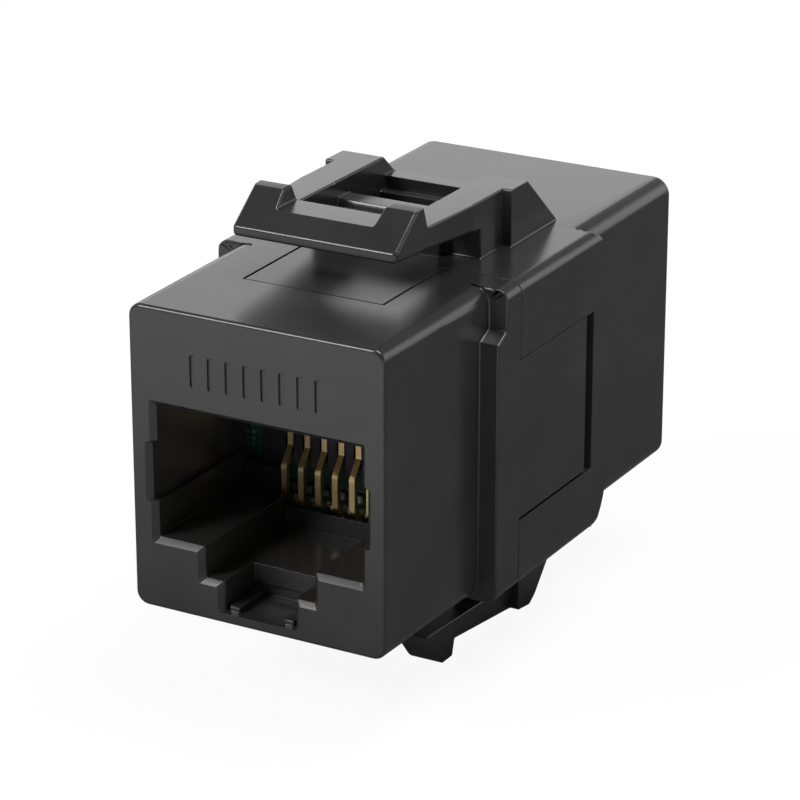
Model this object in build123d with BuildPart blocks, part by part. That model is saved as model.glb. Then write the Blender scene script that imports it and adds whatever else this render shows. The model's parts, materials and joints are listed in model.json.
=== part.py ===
from build123d import *
import math
import os

# Inline coupler for two eight-position plugs, made to snap into a keystone window.
# Millimetres. The origin is the middle of the front face, +Y runs to the rear
# and +Z is up. Every fit is worked out from the sizes below.

# Nose, the part that fills the window of the panel
total_length = 30.56
nose_side_wall = 1.38
nose_height = 16.14
nose_draft = 0.77
nose_corner = 0.7
face_edge_round = 0.2

# Middle section, wider than the nose, and the rear section behind it
middle_overhang = 1.21
middle_bottom = -8.4
middle_corner = 0.65
middle_shoulder = 21.8
middle_shoulder_height = 5.9
middle_end_bow = 0.4
middle_corner_set_back = 1.4
corner_bulge = 0.35
collar_front = 9.25
collar_set_back = 0.95
collar_step_height = 5.6
collar_step_top = 6.1
rear_overhang = 0.46
rear_top = 8.39
rear_bottom = -7.79
rear_corner = 0.95

# Line where the two shells meet, and the front shell's side tongues
parting = 11.7
shell_gap = 0.05
side_tongue_end = 19.1
side_tongue_top = 4.1
side_tongue_bottom = -4.5
side_tongue_thickness = 1.26
side_tongue_slot = 0.8
side_tongue_groove = 0.16

# Tongue of the rear shell, let into the top of the nose
top_tongue_front = 5.62
top_tongue_width = 7.9
top_tongue_thickness = 1.15
top_tongue_gap = 0.12

# Port, measured inside its chamfered mouth
port_width = 11.74
port_height = 7.06
port_top = 2.84
port_depth = 8.3
mouth_chamfer = 0.3
side_slot_depth = 0.3
side_slot_top = 0.86
side_slot_bottom = -2.3
recess_width = 6.34
recess_step = 1.65
channel_width = 4.1
channel_wall = 0.57
channel_depth = 3.0
channel_ledge = 0.12
channel_ledge_height = -6.95
floor_rib_centre = 1.57
floor_rib_width = 0.62
floor_rib_height = 0.3
floor_rib_front = 0.35
rear_port_lift = 0.3

# Circuit boards, one behind each port, in the hollow between the ports
board_set_back = 1.2
board_thickness = 2.0
board_side_reach = 0.53
board_top = 5.9
board_bottom = -6.4
board_gap = 0.1
board_lip = 0.25
board_lip_top = -4.9
hole_gap = 0.05

# Contact wires
contact_count = 8
contact_pitch = 1.016
wire_width = 0.33
wire_thickness = 0.33
wire_bend = 0.3
wire_gap = 0.035
leg_set_back = 0.3
pin_height = -5.2
pin_reach = 0.35
leg_foot_height = -4.65
knee_height = -2.88
lean_rise = 0.93
back_rise = 1.9
touch_reach = 1.1
touch_height = 0.9
tip_reach = 4.1
tip_height = 3.2
tail_length = 0.6
groove_width = 0.52
groove_room = 0.6
solder_radius = 0.42
solder_tip_radius = 0.3
solder_height = 0.2

# Straight pins that join the two boards
link_height = -4.25
link_thickness = 0.4
link_stand_out = 0.3

# Carrier, the comb that keeps the contact wires in line
comb_side = 1.43
comb_bottom = -3.0
comb_head_bottom = 3.3
comb_head_top = 5.8
comb_head_depth = 0.75
foot_side = 2.15
foot_top = -3.1

# Marks on the face above the port, one for each contact
mark_width = 0.32
mark_height = 1.7
mark_middle = 5.1
mark_depth = 0.1

# Rails of the latch above and of the hook below
rail_inner = 3.0
rail_outer = 5.0
block_outer = 5.5

# Latch on top, a sprung bar on two rails that bend at their root
latch_bend = 13.0
latch_front = 5.65
latch_bar_width = 9.4
latch_underside = 10.28
latch_lip_top = 10.77
latch_ramp_end = 7.7
latch_ramp_top = 12.37
latch_crown_end = 8.48
latch_crown = 12.42
latch_bar_rear = 8.83
latch_corner = 0.25
latch_lip_round = 0.2
rail_top = 11.33
rail_root_underside = 9.82
latch_root = 13.8
latch_block_front = 16.15
latch_block_top_end = 18.0
latch_block_end = 21.4
thumb_notch_width = 5.84
thumb_notch_floor_width = 5.54
thumb_notch_floor = 11.6

# Cross pieces between the rails of the latch
cross_rib_front = 13.05
cross_rib_rear = 14.4
cross_rib_top = 10.38
cross_rib_lip = 0.43
rear_wall_ledge = 17.5
rear_wall_ledge_height = 9.6
rear_wall_front = 18.1
rear_wall_top = 10.3

# Hook below, two fixed rails with a foot at each end
hook_front = 8.2
hook_top = -10.6
hook_toe = 9.8
hook_toe_height = -12.55
hook_foot = -12.78
hook_heel = 11.1
hook_heel_rear = 11.35
hook_arm_height = -11.87
hook_root = 14.85
hook_root_height = -10.98
hook_block_front = 17.48
hook_block_height = -12.6
hook_block_heel = 18.9
hook_slope_start = 19.46
hook_slope_height = -12.45
hook_slope_end = 21.85
hook_slope_end_height = -9.95
toe_round = 0.25
seat_depth = 1.0

# Values worked out from the sizes above
growth = math.tan(math.radians(nose_draft))
middle = Plane.XZ.offset(-total_length / 2)
slot_half = port_width / 2 + side_slot_depth
nose_width = port_width + 2 * nose_side_wall
middle_width = nose_width + 2 * middle_overhang
rear_width = nose_width + 2 * rear_overhang
nose_top = nose_height / 2
parting_top = nose_top + parting * growth
rear_start = parting + shell_gap
port_floor = port_top - port_height
recess_floor = port_floor - recess_step
channel_floor = channel_wall - nose_top
board_front = port_depth + board_set_back
board_rear = board_front + board_thickness
board_half = port_width / 2 + board_side_reach
hollow_half = board_half + board_gap
hollow_top = board_top + board_gap
hollow_bottom = board_bottom - board_gap
leg_place = port_depth + leg_set_back
back_place = board_front - wire_gap - wire_thickness / 2
comb_face = back_place - wire_thickness / 2 - wire_gap
tip_place = port_depth - tip_reach
groove_front = tip_place - groove_room
groove_top = tip_height + groove_room
contact_places = [(number - (contact_count - 1) / 2) * contact_pitch for number in range(contact_count)]
row_half = contact_places[-1] + groove_width / 2
joint_half = contact_places[-1] + solder_radius + board_gap


def runs_rearward(edge):
    """True for an edge that runs along the body, front to rear."""
    return edge.geom_type == GeomType.LINE and abs(edge.tangent_at(0.5).Y) > 0.99


def across(y):
    """Plane across the body at a distance behind the front face, X to the right and Z up."""
    return Plane.XZ.offset(-y)


def top_at(y):
    """Height of the top surface at a distance behind the front face."""
    if y <= parting:
        return nose_top + y * growth
    return parting_top + (rear_top - parting_top) * (y - parting) / (total_length - parting)


def mouth(half_width, low, high, side, bottom, top):
    """Chamfered mouth of one step of the port: a loft from the front face inwards."""
    with BuildSketch(across(0)) as outer:
        with Locations((0, (low - bottom + high + top) / 2)):
            Rectangle(2 * (half_width + side), high + top - low + bottom)
    with BuildSketch(across(mouth_chamfer)) as inner:
        with Locations((0, (low + high) / 2)):
            Rectangle(2 * half_width, high - low)
    return loft([outer.sketch.face(), inner.sketch.face()], mode=Mode.PRIVATE)


def block(half_width, front, rear, low, high):
    """Plain block over the middle, used to cut and to add."""
    with BuildPart() as made:
        with BuildSketch(across(front)):
            with Locations((0, (low + high) / 2)):
                Rectangle(2 * half_width, high - low)
        extrude(amount=front - rear)
    return made.part


# Port tool: the hollow of one port, cut from both ends of the coupler
with BuildPart() as port_tool:
    add(block(port_width / 2, 0, port_depth, port_floor, port_top))
    add(block(slot_half, 0, port_depth, side_slot_bottom, side_slot_top))
    add(block(recess_width / 2, 0, port_depth - board_lip, recess_floor, 0))
    add(block(channel_width / 2, 0, channel_depth, channel_floor, 0))
    add(block(channel_width / 2, 0, channel_depth + channel_ledge, channel_floor, channel_ledge_height))
    add(mouth(port_width / 2, port_floor, port_top, mouth_chamfer, mouth_chamfer, mouth_chamfer))
    add(mouth(slot_half, side_slot_bottom, side_slot_top, mouth_chamfer, 0, 0))
    add(mouth(recess_width / 2, recess_floor, 0, mouth_chamfer, mouth_chamfer, 0))
    add(mouth(channel_width / 2, channel_floor, 0, mouth_chamfer, 0, 0))
    # Low ribs on the floor of the channel for the plug's tab
    for side in (-1, 1):
        with BuildSketch(across(floor_rib_front)):
            with Locations((side * floor_rib_centre, channel_floor + floor_rib_height / 2)):
                Rectangle(floor_rib_width, floor_rib_height)
        extrude(amount=floor_rib_front - channel_depth, mode=Mode.SUBTRACT)
    # Grooves in the roof that guide the tips of the contact wires
    for place in contact_places:
        with BuildSketch(across(groove_front)):
            with Locations((place, (groove_top + port_top) / 2)):
                Rectangle(groove_width, groove_top - port_top)
        extrude(amount=groove_front - port_depth)

# Hollow tool: the room between the ports for the carriers and the boards
with BuildPart() as hollow_tool:
    add(block(hollow_half, board_front, total_length - board_front, hollow_bottom, hollow_top))
    add(block(slot_half, port_depth, total_length - port_depth, board_lip_top, hollow_top))
    add(block(joint_half, port_depth, total_length - port_depth, hollow_bottom, hollow_top))
    lip_front = port_depth - board_lip
    add(block(slot_half, lip_front, total_length - lip_front, board_lip_top, port_floor))

# Front shell: nose, port, collar and side tongues
with BuildPart() as front_shell:
    with BuildSketch(across(0)):
        RectangleRounded(nose_width, nose_height, nose_corner)
    extrude(amount=-parting, taper=-nose_draft)
    fillet(front_shell.faces().sort_by(Axis.Y)[0].edges(), radius=face_edge_round)
    # Collar, set back at its top corners
    with BuildSketch(Plane.YZ):
        with BuildLine():
            Polyline(
                (collar_front, middle_bottom),
                (collar_front, collar_step_height),
                (collar_front + collar_set_back, collar_step_top),
                (collar_front + collar_set_back, top_at(collar_front + collar_set_back)),
                (parting, parting_top),
                (parting, middle_bottom),
                close=True,
            )
        make_face()
    extrude(amount=middle_width / 2, both=True)
    long_edges = front_shell.edges().filter_by(runs_rearward)
    collar_edges = long_edges.filter_by(lambda edge: abs(edge.center().X) > middle_width / 2 - 0.01)
    fillet(collar_edges, radius=middle_corner)
    # Side tongues that reach back into the rear shell
    tongue_start = parting - seat_depth
    tongue_middle = ((tongue_start + side_tongue_end) / 2, (side_tongue_top + side_tongue_bottom) / 2)
    for side in (-1, 1):
        with BuildSketch(Plane.YZ.offset(side * middle_width / 2)):
            with Locations(tongue_middle):
                Rectangle(side_tongue_end - tongue_start, side_tongue_top - side_tongue_bottom)
        extrude(amount=-side * side_tongue_thickness)
    # Seat for the rear shell's top tongue
    seat_half = top_tongue_width / 2 + top_tongue_gap
    seat_floor = top_at(top_tongue_front) - top_tongue_thickness - shell_gap
    add(block(seat_half, top_tongue_front - shell_gap, parting, seat_floor, nose_top + 1), mode=Mode.SUBTRACT)
    add(port_tool.part, mode=Mode.SUBTRACT)
    add(hollow_tool.part, mode=Mode.SUBTRACT)
    # Plain marks on the face, one over each contact
    with BuildSketch(across(0)):
        with Locations([(place, mark_middle) for place in contact_places]):
            Rectangle(mark_width, mark_height)
    extrude(amount=-mark_depth, mode=Mode.SUBTRACT)

# Latch rails: side profile of the bar, the rails and the root blocks in one
with BuildPart() as latch_rails:
    with BuildSketch(Plane.YZ):
        with BuildLine():
            Polyline(
                (latch_front, latch_underside),
                (latch_front, latch_lip_top),
                (latch_ramp_end, latch_ramp_top),
                (latch_crown_end, latch_crown),
                (latch_bar_rear, rail_top),
                (latch_block_top_end, rail_top),
                (latch_block_end, top_at(latch_block_end)),
                (latch_block_end, top_at(latch_block_end) - seat_depth),
                (latch_root, top_at(latch_root) - seat_depth),
                (latch_root, rail_root_underside),
                close=True,
            )
        make_face()
    extrude(amount=rail_outer, both=True)
    with BuildSketch(Plane.YZ):
        with BuildLine():
            Polyline(
                (latch_block_front, rail_top),
                (latch_block_top_end, rail_top),
                (latch_block_end, top_at(latch_block_end)),
                (latch_block_end, top_at(latch_block_end) - seat_depth),
                (latch_block_front, top_at(latch_block_front) - seat_depth),
                close=True,
            )
        make_face()
    extrude(amount=block_outer, both=True)
    # Clear the middle behind the bar
    rail_gap = block(rail_inner, latch_bar_rear, latch_block_end + 1, rear_top - seat_depth - 1, latch_crown)
    add(rail_gap, mode=Mode.SUBTRACT)

# Latch root: what stays with the rear shell when the latch bends
with BuildPart() as latch_root_blocks:
    add(latch_rails.part)
    split(bisect_by=across(latch_bend), keep=Keep.BOTTOM)
    with BuildSketch(Plane.YZ):
        with BuildLine():
            Polyline(
                (cross_rib_front, top_at(cross_rib_front) - seat_depth),
                (cross_rib_front, cross_rib_top - cross_rib_lip),
                (cross_rib_front + cross_rib_lip / 2, cross_rib_top),
                (cross_rib_rear, cross_rib_top),
                (cross_rib_rear, top_at(cross_rib_rear) - seat_depth),
                close=True,
            )
        make_face()
    extrude(amount=rail_inner, both=True)
    with BuildSketch(Plane.YZ):
        with BuildLine():
            slope = (rail_top - top_at(latch_block_end)) / (latch_block_end - latch_block_top_end)
            rear_wall_end = latch_block_end - (rear_wall_top - top_at(latch_block_end)) / slope
            Polyline(
                (rear_wall_ledge, top_at(rear_wall_ledge) - seat_depth),
                (rear_wall_ledge, rear_wall_ledge_height),
                (rear_wall_front, rear_wall_ledge_height),
                (rear_wall_front, rear_wall_top),
                (rear_wall_end, rear_wall_top),
                (latch_block_end, top_at(latch_block_end)),
                (latch_block_end, top_at(latch_block_end) - seat_depth),
                close=True,
            )
        make_face()
    extrude(amount=rail_inner, both=True)

# Hook: side profile of the feet, the arms and the root blocks in one
with BuildPart() as hook_rails:
    with BuildSketch(Plane.YZ):
        with BuildLine():
            Polyline(
                (hook_front, hook_top),
                (hook_toe, hook_toe_height),
                (hook_toe + toe_round, hook_foot),
                (hook_heel, hook_foot),
                (hook_heel_rear, hook_arm_height),
                (hook_block_front, hook_block_height),
                (hook_block_heel, hook_foot),
                (hook_slope_start, hook_slope_height),
                (hook_slope_end, hook_slope_end_height),
                (hook_slope_end, rear_bottom + seat_depth),
                (hook_root, middle_bottom + seat_depth),
                (hook_root, hook_root_height),
                close=True,
            )
        make_face()
    extrude(amount=rail_outer, both=True)
    with BuildSketch(Plane.YZ):
        with BuildLine():
            Polyline(
                (hook_block_front, hook_block_height),
                (hook_block_heel, hook_foot),
                (hook_slope_start, hook_slope_height),
                (hook_slope_end, hook_slope_end_height),
                (hook_slope_end, rear_bottom + seat_depth),
                (hook_block_front, middle_bottom + seat_depth),
                close=True,
            )
        make_face()
    extrude(amount=block_outer, both=True)
    arm_gap_top = rear_bottom + seat_depth + 1
    arm_gap = block(rail_inner, hook_front - 1, hook_slope_end + 1, hook_foot - 1, arm_gap_top)
    add(arm_gap, mode=Mode.SUBTRACT)

# Middle section with its bowed rear end, the wide part of the rear shell
corner_y = middle_shoulder - middle_corner_set_back
corner_middle_y = middle_shoulder - middle_corner_set_back * 0.42
with BuildPart() as middle_section:
    with BuildSketch(Plane.YZ):
        with BuildLine():
            Polyline(
                (corner_y, middle_bottom),
                (rear_start, middle_bottom),
                (rear_start, top_at(rear_start)),
                (corner_y, top_at(corner_y)),
            )
            ThreePointArc(
                (corner_y, top_at(corner_y)),
                (corner_middle_y, (top_at(corner_y) + middle_shoulder_height) / 2 + corner_bulge),
                (middle_shoulder, middle_shoulder_height),
            )
            ThreePointArc(
                (middle_shoulder, middle_shoulder_height),
                (middle_shoulder + middle_end_bow, 0),
                (middle_shoulder, -middle_shoulder_height),
            )
            ThreePointArc(
                (middle_shoulder, -middle_shoulder_height),
                (corner_middle_y, (middle_bottom - middle_shoulder_height) / 2 - corner_bulge),
                (corner_y, middle_bottom),
            )
        make_face()
    extrude(amount=middle_width / 2, both=True)
    fillet(middle_section.edges().filter_by(runs_rearward), radius=middle_corner)

# Rear shell: middle and rear sections, top tongue, latch root and hook
with BuildPart() as rear_shell:
    with BuildSketch(Plane.YZ):
        with BuildLine():
            Polyline(
                (rear_start, rear_bottom),
                (rear_start, top_at(rear_start)),
                (total_length, rear_top),
                (total_length, rear_bottom),
                close=True,
            )
        make_face()
    extrude(amount=rear_width / 2, both=True)
    fillet(rear_shell.edges().filter_by(runs_rearward), radius=rear_corner)
    fillet(rear_shell.faces().sort_by(Axis.Y)[-1].edges(), radius=face_edge_round)
    add(middle_section.part)
    # Tongue that lies flush in the top of the nose
    with BuildSketch(Plane.YZ):
        with BuildLine():
            tongue_floor = top_at(top_tongue_front) - top_tongue_thickness
            Polyline(
                (top_tongue_front, tongue_floor),
                (top_tongue_front, top_at(top_tongue_front)),
                (parting, parting_top),
                (rear_start, top_at(rear_start)),
                (rear_start, tongue_floor),
                close=True,
            )
        make_face()
    extrude(amount=top_tongue_width / 2, both=True)
    add(latch_root_blocks.part)
    add(hook_rails.part)
    # Notches for the front shell's side tongues, with a slot behind each
    notch_floor = middle_width / 2 - side_tongue_thickness - shell_gap
    notch_low = side_tongue_bottom - side_tongue_groove
    notch_high = side_tongue_top + shell_gap
    notch_end = side_tongue_end + side_tongue_slot
    for side in (-1, 1):
        with BuildSketch(Plane.YZ.offset(side * notch_floor)):
            with Locations(((parting + notch_end) / 2, (notch_low + notch_high) / 2)):
                Rectangle(notch_end - parting, notch_high - notch_low)
        extrude(amount=side * side_tongue_thickness * 2, mode=Mode.SUBTRACT)
    rear_port_tool = mirror(port_tool.part, about=middle, mode=Mode.PRIVATE)
    add(Pos(0, 0, rear_port_lift) * rear_port_tool, mode=Mode.SUBTRACT)
    add(hollow_tool.part, mode=Mode.SUBTRACT)

# Latch: bar and rails in front of the bend
with BuildPart() as panel_latch:
    add(latch_rails.part)
    split(bisect_by=across(latch_bend), keep=Keep.TOP)
    # The bar is a little narrower than the rails and rounded at its front corners
    with BuildSketch(Plane.XY.offset(latch_underside - 1)):
        with BuildLine():
            Polyline(
                (latch_bar_width / 2, latch_front),
                (latch_bar_width / 2, latch_bar_rear),
                (rail_outer, latch_bend),
                (rail_outer + 1, latch_bend),
                (rail_outer + 1, latch_front - 1),
                (latch_bar_width / 2, latch_front - 1),
                close=True,
            )
        make_face()
    extrude(amount=latch_crown - latch_underside + 2, mode=Mode.SUBTRACT)
    mirror(about=Plane.YZ, mode=Mode.INTERSECT)
    # Thumb notch in the middle of the bar
    with BuildSketch(across(latch_front - 1)):
        with BuildLine():
            Polyline(
                (-thumb_notch_floor_width / 2, thumb_notch_floor),
                (thumb_notch_floor_width / 2, thumb_notch_floor),
                (thumb_notch_width / 2, latch_crown + 0.1),
                (-thumb_notch_width / 2, latch_crown + 0.1),
                close=True,
            )
        make_face()
    extrude(amount=latch_front - 1 - latch_bar_rear - 1, mode=Mode.SUBTRACT)
    upright = panel_latch.edges().filter_by(Axis.Z).group_by(Axis.Y)[0]
    fillet(upright, radius=latch_corner)
    lip = panel_latch.edges().filter_by(Axis.X).group_by(Axis.Y)[0]
    fillet(lip, radius=latch_lip_round)

# Circuit board behind the front port, drilled for the contact wires and the link pins
wire_hole = wire_width / math.sqrt(2) / math.cos(math.pi / 8) + hole_gap
link_hole = link_thickness / math.sqrt(2) / math.cos(math.pi / 8) + hole_gap
with BuildPart() as circuit_board:
    add(block(board_half, board_front, board_rear, board_bottom, board_top))
    with BuildSketch(across(board_front)):
        with Locations([(place, pin_height) for place in contact_places]):
            RegularPolygon(wire_hole, 8)
        with Locations([(place, link_height) for place in contact_places]):
            RegularPolygon(link_hole, 8)
    extrude(amount=-board_thickness, mode=Mode.SUBTRACT)

# Link pins from board to board
with BuildPart() as link_pins:
    with BuildSketch(across(board_front - link_stand_out)):
        with Locations([(place, link_height) for place in contact_places]):
            Rectangle(link_thickness, link_thickness)
    extrude(amount=2 * (board_front - link_stand_out) - total_length)

# Carrier: a head over the port, comb fingers down the board and a foot at each side
comb_half = row_half + comb_side
with BuildPart() as front_contact_carrier:
    add(block(comb_half, comb_face, board_front, comb_bottom, comb_head_top))
    add(block(comb_half, comb_face - comb_head_depth, board_front, comb_head_bottom, comb_head_top))
    for place in contact_places:
        with BuildSketch(across(comb_face)):
            with Locations((place, (comb_bottom + comb_head_bottom) / 2)):
                Rectangle(groove_width, comb_head_bottom - comb_bottom)
        extrude(amount=comb_face - board_front, mode=Mode.SUBTRACT)
    for side in (-1, 1):
        with BuildSketch(across(leg_place - wire_thickness / 2)):
            with Locations((side * (row_half + foot_side / 2), (foot_top + board_lip_top) / 2)):
                Rectangle(foot_side, foot_top - board_lip_top)
        extrude(amount=leg_place - wire_thickness / 2 - board_front)
        with BuildSketch(across(comb_face)):
            with Locations((side * (row_half + comb_side / 2), (comb_bottom + foot_top) / 2)):
                Rectangle(comb_side, comb_bottom - foot_top)
        extrude(amount=comb_face - board_front)


def contact_wire(place):
    """One folded contact wire of the front row, from its pin in the board to its tip under the roof."""
    with BuildPart() as wire:
        with BuildLine(Plane.YZ.offset(place)) as path:
            FilletPolyline(
                (board_rear + tail_length, pin_height),
                (board_front - pin_reach, pin_height),
                (leg_place, leg_foot_height),
                (leg_place, knee_height),
                (back_place, knee_height + lean_rise),
                (back_place, back_rise),
                (port_depth - touch_reach, touch_height),
                (tip_place, tip_height),
                radius=wire_bend,
            )
        with BuildSketch(Plane(path.line @ 0, x_dir=(1, 0, 0), z_dir=path.line % 0)):
            Rectangle(wire_width, wire_thickness)
        sweep()
    return wire.part


# Solder joints on the board's face, one round each wire
with BuildPart() as front_solder_joints:
    for place in contact_places:
        with BuildSketch(across(board_front)):
            with Locations((place, pin_height)):
                RegularPolygon(solder_radius, 8)
        with BuildSketch(across(board_front - solder_height)):
            with Locations((place, pin_height)):
                RegularPolygon(solder_tip_radius, 8)
        loft()
        with BuildSketch(across(board_front)):
            with Locations((place, pin_height)):
                Rectangle(wire_width, wire_thickness)
        extrude(amount=solder_height, mode=Mode.SUBTRACT)

nodes = {
    "front_shell": front_shell.part,
    "rear_shell": rear_shell.part,
    "panel_latch": panel_latch.part,
    "circuit_board": circuit_board.part,
    "rear_circuit_board": mirror(circuit_board.part, about=middle),
    "link_pins": link_pins.part,
    "front_contact_carrier": front_contact_carrier.part,
    "rear_contact_carrier": mirror(front_contact_carrier.part, about=middle),
    "front_solder_joints": front_solder_joints.part,
    "rear_solder_joints": mirror(front_solder_joints.part, about=middle),
}
for number, place in enumerate(contact_places, start=1):
    wire = contact_wire(place)
    nodes[f"front_contact_{number}"] = wire
    nodes[f"rear_contact_{number}"] = mirror(wire, about=middle)

os.makedirs("parts", exist_ok=True)
for name, part in nodes.items():
    part.label = name
    export_step(part, f"parts/{name}.step")
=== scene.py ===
import json
import math

import bmesh
import bpy
from mathutils import Matrix, Vector
from mathutils.bvhtree import BVHTree

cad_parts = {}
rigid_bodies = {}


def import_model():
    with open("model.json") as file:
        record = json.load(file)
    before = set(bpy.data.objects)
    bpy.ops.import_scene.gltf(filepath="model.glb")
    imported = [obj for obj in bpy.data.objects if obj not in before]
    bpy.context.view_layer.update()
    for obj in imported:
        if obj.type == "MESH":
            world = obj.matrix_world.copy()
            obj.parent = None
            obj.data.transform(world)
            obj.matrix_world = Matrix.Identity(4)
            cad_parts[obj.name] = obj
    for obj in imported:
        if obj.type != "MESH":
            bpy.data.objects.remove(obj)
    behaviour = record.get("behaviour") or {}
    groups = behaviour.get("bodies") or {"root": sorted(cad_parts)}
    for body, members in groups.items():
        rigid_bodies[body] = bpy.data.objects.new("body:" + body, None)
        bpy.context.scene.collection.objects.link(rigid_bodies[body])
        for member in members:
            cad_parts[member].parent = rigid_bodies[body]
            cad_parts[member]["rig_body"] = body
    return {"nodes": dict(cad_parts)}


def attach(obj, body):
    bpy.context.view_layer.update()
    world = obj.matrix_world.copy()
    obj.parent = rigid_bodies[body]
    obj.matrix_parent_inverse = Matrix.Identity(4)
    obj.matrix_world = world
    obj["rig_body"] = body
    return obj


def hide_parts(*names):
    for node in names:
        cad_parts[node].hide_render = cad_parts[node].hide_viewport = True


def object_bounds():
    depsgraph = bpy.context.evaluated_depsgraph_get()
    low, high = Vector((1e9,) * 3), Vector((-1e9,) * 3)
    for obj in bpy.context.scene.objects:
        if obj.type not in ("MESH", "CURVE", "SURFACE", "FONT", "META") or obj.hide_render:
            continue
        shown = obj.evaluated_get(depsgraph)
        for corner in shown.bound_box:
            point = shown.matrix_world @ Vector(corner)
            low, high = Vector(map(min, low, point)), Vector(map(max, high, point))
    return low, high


MM = 0.001

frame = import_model()
cad_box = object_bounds()
nodes = frame["nodes"]
rear_face = cad_box[1].y

# Camera, fitted to the straight edges of the photographed body
FRAME_PIXELS = 800
FOCAL_PIXELS = 3428.0
SENSOR = 36.0
CLIP_START = 0.01
CLIP_END = 10
VIEW_AZIMUTH = 0.51372
VIEW_ELEVATION = 0.36724
VIEW_RIGHT = 7.054 * MM
VIEW_UP = 4.000 * MM
VIEW_DISTANCE = 167.53 * MM

# Pads on the front board, each by the x and z of its middle
BOARD_FACE = 9.5 * MM
PAD_RADIUS = 0.06 * MM
PAD_SIDES = 16
PAD_STAND_OUT = 0.01 * MM
PADS = ((-5.98 * MM, -1.8 * MM), (-5.985 * MM, -2.16 * MM), (-5.99 * MM, -2.5 * MM))

# Rounding of the moulded edges
EDGE_ROUND = 0.1 * MM
ROUND_SEGMENTS = 3
SHARP_ANGLE = math.radians(32)
SEAM_ROUND_SHARE = 0.3
LATCH_BEND = 13.0 * MM
TOUCH = 0.001 * MM
SAME_POINT = 0.0005 * MM
SHORT_EDGE = 0.004 * MM
SLIVER = 0.003 * MM

# Where the two shells meet, in mm: the distance from the middle plane, then y, then z
ANY = (-99, 99)
PARTING_LINE = (ANY, (11.6, 11.85), ANY)
TOP_TONGUE = ((-1, 4.2), (5.5, 11.85), (6.5, 8.3))
SIDE_TONGUES = ((7.0, 99), (11.6, 20.0), (-4.8, 4.2))

# Shading by flats
FLAT_DOT = math.cos(math.radians(0.5))
SAME_SIDE_DOT = math.cos(math.radians(40))

# Finishes
NOISE_SPAN = (0.35, 0.65)
FLOW = {"Scale": 260.0, "Detail": 3.0, "Roughness": 0.55}
GRAIN_ROUGHNESS = 0.6
GRAIN_STRENGTH = 0.2
FINE_DETAIL = 2.0
PLASTIC_IOR = 1.5
SHELL = {"colour": (0.024, 0.024, 0.0235), "dark": (0.019, 0.019, 0.019), "rough": (0.24, 0.26)}
SHELL_GRAIN = {"grain": 9000.0, "grain_depth": 0.0008 * MM}
# Carriers: a darker copy of the shell plastic, which paints the shade inside the port
INNER_PAINTED_SHADE = {"colour": (0.014, 0.014, 0.014), "dark": (0.010, 0.010, 0.010), "rough": (0.3, 0.36)}
INNER_GRAIN = {"grain": 5200.0, "grain_depth": 0.002 * MM}
GOLD = {"colour": (0.93, 0.72, 0.38), "dark": (0.84, 0.62, 0.3), "rough": (0.4, 0.36), "patch": 900.0}
BOARD = {"colour": (0.008, 0.06, 0.03), "dark": (0.004, 0.035, 0.018), "rough": 0.35, "weave": 1400.0}
SOLDER = {"colour": (0.7, 0.7, 0.68), "rough": (0.2, 0.4), "patch": 2000.0}

# Floor
WHITE = (1.0, 1.0, 1.0, 1.0)
FLOOR_SIZE = 3.0
FLOOR_SHADE = 0.85
# In gloss the floor darkens from the front towards the part and stays dark behind it: a painted
# shadow that the part's front and sides mirror
FLOOR_GLOSS_PAINTED_SHADOW = (1.0, 0.1)
FLOOR_GLOSS_SHADOW_SPAN = (-45 * MM, -5 * MM)
FLOOR_WHITE_SEEN = 0.93
FLOOR_WHITE_IN_GLOSS = 0.05

# World: the sweep's shades by height, from level to overhead, and where it dims towards the front
AMBIENT = 0.24
SWEEP = 1.8
SWEEP_IN_FRONT = 0.15
SWEEP_TURN = (-0.3, 0.2)
SWEEP_SHADES = ((0.0, 0.7), (0.3, 1.0), (0.38, 0.9), (0.46, 0.04), (0.8, 0.08), (1.0, 0.2))

# Lamps
LAMP_AIM = (0, 0.01, 0)
KEY = {"place": (0.12, 0.08, 0.5), "size": 0.25, "power": 2.2}
FRONT = {"place": (-0.33, -0.42, 0.44), "size": 0.24, "power": 3.0}


def make_camera():
    """Camera at the photograph's place and angle."""
    sin_a, cos_a = math.sin(VIEW_AZIMUTH), math.cos(VIEW_AZIMUTH)
    sin_e, cos_e = math.sin(VIEW_ELEVATION), math.cos(VIEW_ELEVATION)
    back = Vector((sin_a * cos_e, -cos_a * cos_e, sin_e))
    right = Vector((cos_a, sin_a, 0))
    up = back.cross(right)
    data = bpy.data.cameras.new("camera")
    data.sensor_width = SENSOR
    data.lens = FOCAL_PIXELS / FRAME_PIXELS * SENSOR
    data.clip_start = CLIP_START
    data.clip_end = CLIP_END
    camera = bpy.data.objects.new("camera", data)
    place = right * VIEW_RIGHT + up * VIEW_UP + back * VIEW_DISTANCE
    turn = Matrix((right, up, back)).transposed().to_4x4()
    camera.matrix_world = Matrix.Translation(place) @ turn
    bpy.context.scene.collection.objects.link(camera)
    bpy.context.scene.camera = camera


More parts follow.
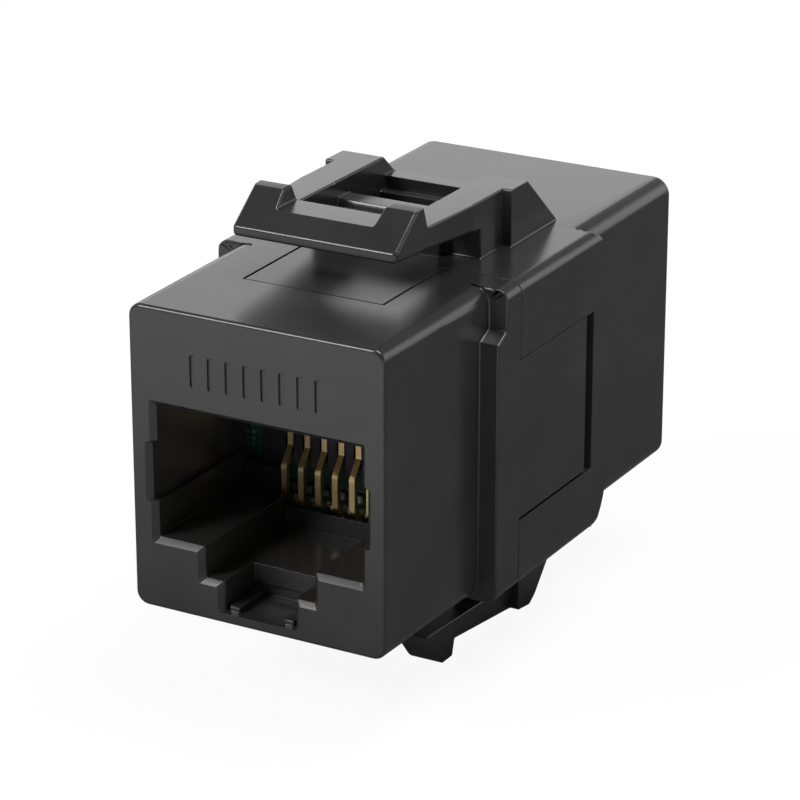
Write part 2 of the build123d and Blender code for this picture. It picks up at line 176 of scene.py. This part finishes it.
class Nodes:
    """Short form for building a node tree."""

    def __init__(self, tree):
        self.tree = tree
        tree.nodes.clear()

    def add(self, kind, **values):
        """New node, with its inputs and settings by name."""
        node = self.tree.nodes.new(kind)
        for name, value in values.items():
            if name in node.inputs:
                node.inputs[name].default_value = value
            else:
                setattr(node, name, value)
        return node

    def join(self, source, target):
        """Link from an output to an input."""
        self.tree.links.new(source, target)

    def place(self, kind):
        """Coordinates of the shaded point."""
        return self.add("ShaderNodeTexCoord").outputs[kind]

    def ramp(self, source, low, high, span=NOISE_SPAN):
        """Maps the values of a span onto those from low to high."""
        spread = self.add("ShaderNodeMapRange")
        for name, value in zip(("From Min", "From Max", "To Min", "To Max"), (*span, low, high)):
            spread.inputs[name].default_value = value
        self.join(source, spread.inputs["Value"])
        return spread.outputs["Result"]

    def noise(self, **values):
        """Noise texture fixed to the piece."""
        texture = self.add("ShaderNodeTexNoise", **values)
        self.join(self.place("Object"), texture.inputs["Vector"])
        return texture.outputs["Fac"]

    def mottle(self, source, dark, colour):
        """Colour that wanders between two shades."""
        mix = self.add("ShaderNodeMix", data_type="RGBA")
        mix.inputs["A"].default_value = (*dark, 1)
        mix.inputs["B"].default_value = (*colour, 1)
        self.join(self.ramp(source, 0.0, 1.0), mix.inputs["Factor"])
        return mix.outputs["Result"]

    def combine(self, operation, first, second):
        """Sum, product or larger one of a value and another value or number."""
        node = self.add("ShaderNodeMath", operation=operation)
        self.join(first, node.inputs[0])
        if isinstance(second, float):
            node.inputs[1].default_value = second
        else:
            self.join(second, node.inputs[1])
        return node.outputs[0]

    def blend(self, share, first, second):
        """Mix of two shaders."""
        mix = self.add("ShaderNodeMixShader")
        for source, target in zip((share, first, second), mix.inputs):
            self.join(source, target)
        return mix.outputs[0]


def new_material(name):
    """Material with one shader, its nodes and the shader's inputs."""
    material = bpy.data.materials.new(name)
    material.use_nodes = True
    tree = Nodes(material.node_tree)
    output = tree.add("ShaderNodeOutputMaterial")
    shader = tree.add("ShaderNodeBsdfPrincipled")
    tree.join(shader.outputs["BSDF"], output.inputs["Surface"])
    return material, tree, shader.inputs


def moulded_plastic(name, colour, dark, rough, grain, grain_depth):
    """Black moulded plastic: a fine spark texture, faint flow marks and uneven gloss."""
    material, tree, shader = new_material(name)
    fine = tree.noise(Scale=grain, Detail=FINE_DETAIL, Roughness=GRAIN_ROUGHNESS)
    tree.join(tree.mottle(tree.noise(**FLOW), dark, colour), shader["Base Color"])
    tree.join(tree.ramp(fine, *rough), shader["Roughness"])
    bump = tree.add("ShaderNodeBump", Strength=GRAIN_STRENGTH, Distance=grain_depth)
    tree.join(fine, bump.inputs["Height"])
    tree.join(bump.outputs["Normal"], shader["Normal"])
    shader["IOR"].default_value = PLASTIC_IOR
    return material


def plated_wire(name, colour, dark, rough, patch):
    """Gold plating with duller patches."""
    material, tree, shader = new_material(name)
    patches = tree.noise(Scale=patch, Detail=FINE_DETAIL)
    tree.join(tree.mottle(patches, dark, colour), shader["Base Color"])
    tree.join(tree.ramp(patches, *rough), shader["Roughness"])
    shader["Metallic"].default_value = 1.0
    return material


def board_material(name, colour, dark, rough, weave):
    """Green solder mask with fine mottling."""
    material, tree, shader = new_material(name)
    threads = tree.noise(Scale=weave, Detail=FINE_DETAIL)
    tree.join(tree.mottle(threads, dark, colour), shader["Base Color"])
    shader["Roughness"].default_value = rough
    return material


def solder_material(name, colour, rough, patch):
    """Bright solder, a little uneven."""
    material, tree, shader = new_material(name)
    patches = tree.noise(Scale=patch, Detail=FINE_DETAIL)
    shader["Base Color"].default_value = (*colour, 1)
    shader["Metallic"].default_value = 1.0
    tree.join(tree.ramp(patches, *rough), shader["Roughness"])
    return material


def thinness(face):
    """Height of a triangle over its longest edge."""
    return 2 * face.calc_area() / max(edge.calc_length() for edge in face.edges)


def in_zone(vertex, zone):
    """True for a corner inside a box, which is given in mm and alike on both sides."""
    place = (abs(vertex.co.x) / MM, vertex.co.y / MM, vertex.co.z / MM)
    return all(low < value < high for value, (low, high) in zip(place, zone))


def on_seam(edge):
    """True for an edge at the joint between the two shells."""
    zones = (PARTING_LINE, TOP_TONGUE, SIDE_TONGUES)
    return all(any(in_zone(vertex, zone) for zone in zones) for vertex in edge.verts)


def stays_crisp(edge):
    """True for an edge at the latch's bend or in an end face."""
    along = [vertex.co.y for vertex in edge.verts]
    at_bend = all(abs(y - LATCH_BEND) < TOUCH for y in along)
    in_end_face = all(y < TOUCH or y > rear_face - TOUCH for y in along)
    return at_bend or in_end_face


def rounded_copy(node, material):
    """Copy of a CAD piece with its sharp edges rounded, which replaces the piece."""
    mesh = nodes[node].data.copy()
    mesh.name = node + "_dressed"
    work = bmesh.new()
    work.from_mesh(mesh)
    bmesh.ops.remove_doubles(work, verts=work.verts, dist=SAME_POINT)
    bmesh.ops.dissolve_degenerate(work, dist=SHORT_EDGE, edges=work.edges)
    slivers = {face for face in work.faces if thinness(face) < SLIVER}
    surface = BVHTree.FromBMesh(work)
    weight = work.edges.layers.float.new("bevel_weight_edge")
    for edge in work.edges:
        clean = edge.is_manifold and not slivers.intersection(edge.link_faces)
        if clean and edge.calc_face_angle(0) > SHARP_ANGLE and not stays_crisp(edge):
            edge[weight] = SEAM_ROUND_SHARE if on_seam(edge) else 1.0
    work.to_mesh(mesh)
    work.free()
    piece = bpy.data.objects.new(node + "_dressed", mesh)
    bpy.context.scene.collection.objects.link(piece)
    bevel = piece.modifiers.new("edges", "BEVEL")
    bevel.width = EDGE_ROUND
    bevel.segments = ROUND_SEGMENTS
    bevel.limit_method = "WEIGHT"
    bevel.use_clamp_overlap = False
    bevel.miter_outer = "MITER_ARC"
    apply_modifiers(piece)
    # Corners that strayed go back to the CAD surface
    for vertex in piece.data.vertices:
        nearest, _, _, distance = surface.find_nearest(vertex.co)
        if distance > EDGE_ROUND:
            vertex.co = nearest
    piece.data.materials.clear()
    piece.data.materials.append(material)
    shade_by_flats(piece.data)
    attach(piece, frame["nodes"][node]["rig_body"])
    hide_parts(node)


def shade_by_flats(mesh):
    """Smooth shading in which each flat stays flat and only the rounding next to it turns."""
    work = bmesh.new()
    work.from_mesh(mesh)
    work.faces.ensure_lookup_table()
    flat_of = {}
    area_of = []
    for start in work.faces:
        if start.index in flat_of:
            continue
        flat = len(area_of)
        area_of.append(0.0)
        flat_of[start.index] = flat
        reached = [start]
        while reached:
            face = reached.pop()
            area_of[flat] += face.calc_area()
            for edge in face.edges:
                for other in edge.link_faces:
                    if other.index not in flat_of and other.normal.dot(start.normal) > FLAT_DOT:
                        flat_of[other.index] = flat
                        reached.append(other)
    normals = []
    for face in work.faces:
        for corner in face.loops:
            total = Vector((0, 0, 0))
            counted = set()
            for other in corner.vert.link_faces:
                flat = flat_of[other.index]
                if flat not in counted and other.normal.dot(face.normal) > SAME_SIDE_DOT:
                    counted.add(flat)
                    total += other.normal * area_of[flat]
            normals.append(total.normalized() if total.length > 0 else face.normal.copy())
    work.free()
    for face in mesh.polygons:
        face.use_smooth = True
    mesh.normals_split_custom_set(normals)


def apply_modifiers(piece):
    """Replaces a piece's mesh with its finished form."""
    depsgraph = bpy.context.evaluated_depsgraph_get()
    finished = bpy.data.meshes.new_from_object(piece.evaluated_get(depsgraph))
    piece.modifiers.clear()
    piece.data = finished


def paint(node, material):
    """Gives a CAD piece its finish."""
    piece = nodes[node]
    piece.data.materials.clear()
    piece.data.materials.append(material)
    for face in piece.data.polygons:
        face.material_index = 0


def board_dots(material):
    """Three small round pads on the face of the front board, beside the carrier."""
    for number, (x, z) in enumerate(PADS, start=1):
        work = bmesh.new()
        bmesh.ops.create_circle(work, cap_ends=True, segments=PAD_SIDES, radius=PAD_RADIUS)
        mesh = bpy.data.meshes.new(f"pad_{number}")
        bmesh.ops.rotate(work, verts=work.verts, matrix=Matrix.Rotation(math.pi / 2, 3, "X"))
        bmesh.ops.translate(work, verts=work.verts, vec=(x, BOARD_FACE - PAD_STAND_OUT, z))
        work.to_mesh(mesh)
        work.free()
        mesh.materials.append(material)
        pad = bpy.data.objects.new(f"pad_{number}", mesh)
        bpy.context.scene.collection.objects.link(pad)
        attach(pad, frame["nodes"]["circuit_board"]["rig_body"])


def area_light(name, place, size, power):
    """Square soft box that faces the part."""
    data = bpy.data.lights.new(name, "AREA")
    data.shape = "RECTANGLE"
    data.size = size
    data.size_y = size
    data.energy = power
    light = bpy.data.objects.new(name, data)
    light.location = place
    light.rotation_euler = (Vector(LAMP_AIM) - Vector(place)).to_track_quat("-Z", "Y").to_euler()
    bpy.context.scene.collection.objects.link(light)


def make_world():
    """White to the camera, even grey as light, and in gloss a lit sweep under a dark ceiling."""
    world = bpy.data.worlds.new("studio")
    bpy.context.scene.world = world
    world.use_nodes = True
    tree = Nodes(world.node_tree)
    output = tree.add("ShaderNodeOutputWorld")
    path = tree.add("ShaderNodeLightPath").outputs
    seen = tree.add("ShaderNodeBackground", Color=WHITE, Strength=1.0)
    lights = tree.add("ShaderNodeBackground", Color=WHITE, Strength=AMBIENT)
    sweep = tree.add("ShaderNodeBackground")
    way = tree.add("ShaderNodeSeparateXYZ")
    tree.join(tree.place("Generated"), way.inputs[0])
    shades = tree.add("ShaderNodeValToRGB")
    stops = shades.color_ramp.elements
    for place, _ in SWEEP_SHADES[len(stops):]:
        stops.new(place)
    for stop, (place, shade) in zip(stops, SWEEP_SHADES):
        stop.position = place
        stop.color = (shade, shade, shade, 1)
    tree.join(way.outputs["Z"], shades.inputs["Fac"])
    tree.join(shades.outputs["Color"], sweep.inputs["Color"])
    behind = tree.ramp(way.outputs["Y"], SWEEP_IN_FRONT * SWEEP, SWEEP, SWEEP_TURN)
    tree.join(behind, sweep.inputs["Strength"])
    unseen = tree.blend(path["Is Glossy Ray"], lights.outputs[0], sweep.outputs[0])
    clear = tree.combine("MAXIMUM", path["Is Camera Ray"], path["Is Transmission Ray"])
    tree.join(tree.blend(clear, unseen, seen.outputs[0]), output.inputs["Surface"])


def make_floor(height):
    """Plain pale floor that keeps a soft shadow, and in gloss a painted shadow that darkens it
    towards the part and the rear.
    """
    work = bmesh.new()
    bmesh.ops.create_grid(work, x_segments=1, y_segments=1, size=FLOOR_SIZE / 2)
    mesh = bpy.data.meshes.new("floor")
    work.to_mesh(mesh)
    work.free()
    floor = bpy.data.objects.new("floor", mesh)
    floor.location = (0, 0, height)
    bpy.context.scene.collection.objects.link(floor)
    material = bpy.data.materials.new("floor_white")
    material.use_nodes = True
    tree = Nodes(material.node_tree)
    output = tree.add("ShaderNodeOutputMaterial")
    path = tree.add("ShaderNodeLightPath").outputs
    matt = tree.add("ShaderNodeBsdfDiffuse")
    along = tree.add("ShaderNodeSeparateXYZ")
    tree.join(tree.place("Object"), along.inputs[0])
    shade = tree.add("ShaderNodeMix", data_type="FLOAT")
    tree.join(path["Is Glossy Ray"], shade.inputs["Factor"])
    shade.inputs["A"].default_value = FLOOR_SHADE
    # Painted shadow: the floor's shade in gloss falls from light in front to dark at and behind the
    # part
    painted_shadow = tree.ramp(along.outputs["Y"], *FLOOR_GLOSS_PAINTED_SHADOW, FLOOR_GLOSS_SHADOW_SPAN)
    tree.join(painted_shadow, shade.inputs["B"])
    tree.join(shade.outputs["Result"], matt.inputs["Color"])
    white = tree.add("ShaderNodeEmission", Color=WHITE, Strength=1.0)
    direct = tree.combine("MULTIPLY", path["Is Camera Ray"], FLOOR_WHITE_SEEN)
    gloss = tree.combine("MULTIPLY", path["Is Glossy Ray"], FLOOR_WHITE_IN_GLOSS)
    share = tree.combine("ADD", direct, gloss)
    tree.join(tree.blend(share, matt.outputs[0], white.outputs[0]), output.inputs["Surface"])
    mesh.materials.append(material)


make_camera()
make_world()
make_floor(cad_box[0].z)

shell_plastic = moulded_plastic("shell_plastic", **SHELL, **SHELL_GRAIN)
inner_plastic_painted_shade = moulded_plastic("inner_plastic_painted_shade", **INNER_PAINTED_SHADE, **INNER_GRAIN)
gold = plated_wire("contact_gold", **GOLD)
board = board_material("board", **BOARD)
solder = solder_material("solder", **SOLDER)
pad_white = solder_material("pad_white", **SOLDER)

for node in ("front_shell", "rear_shell", "panel_latch"):
    rounded_copy(node, shell_plastic)
# The carriers get the darker plastic, as painted shade for the port's interior
for node in ("front_contact_carrier", "rear_contact_carrier"):
    paint(node, inner_plastic_painted_shade)
for node in nodes:
    if "_contact_" in node and "carrier" not in node:
        paint(node, gold)
for node in ("front_solder_joints", "rear_solder_joints", "link_pins"):
    paint(node, solder)
for node in ("circuit_board", "rear_circuit_board"):
    paint(node, board)
board_dots(pad_white)

area_light("key", **KEY)
area_light("front", **FRONT)

bpy.context.scene.view_settings.view_transform = "Standard"
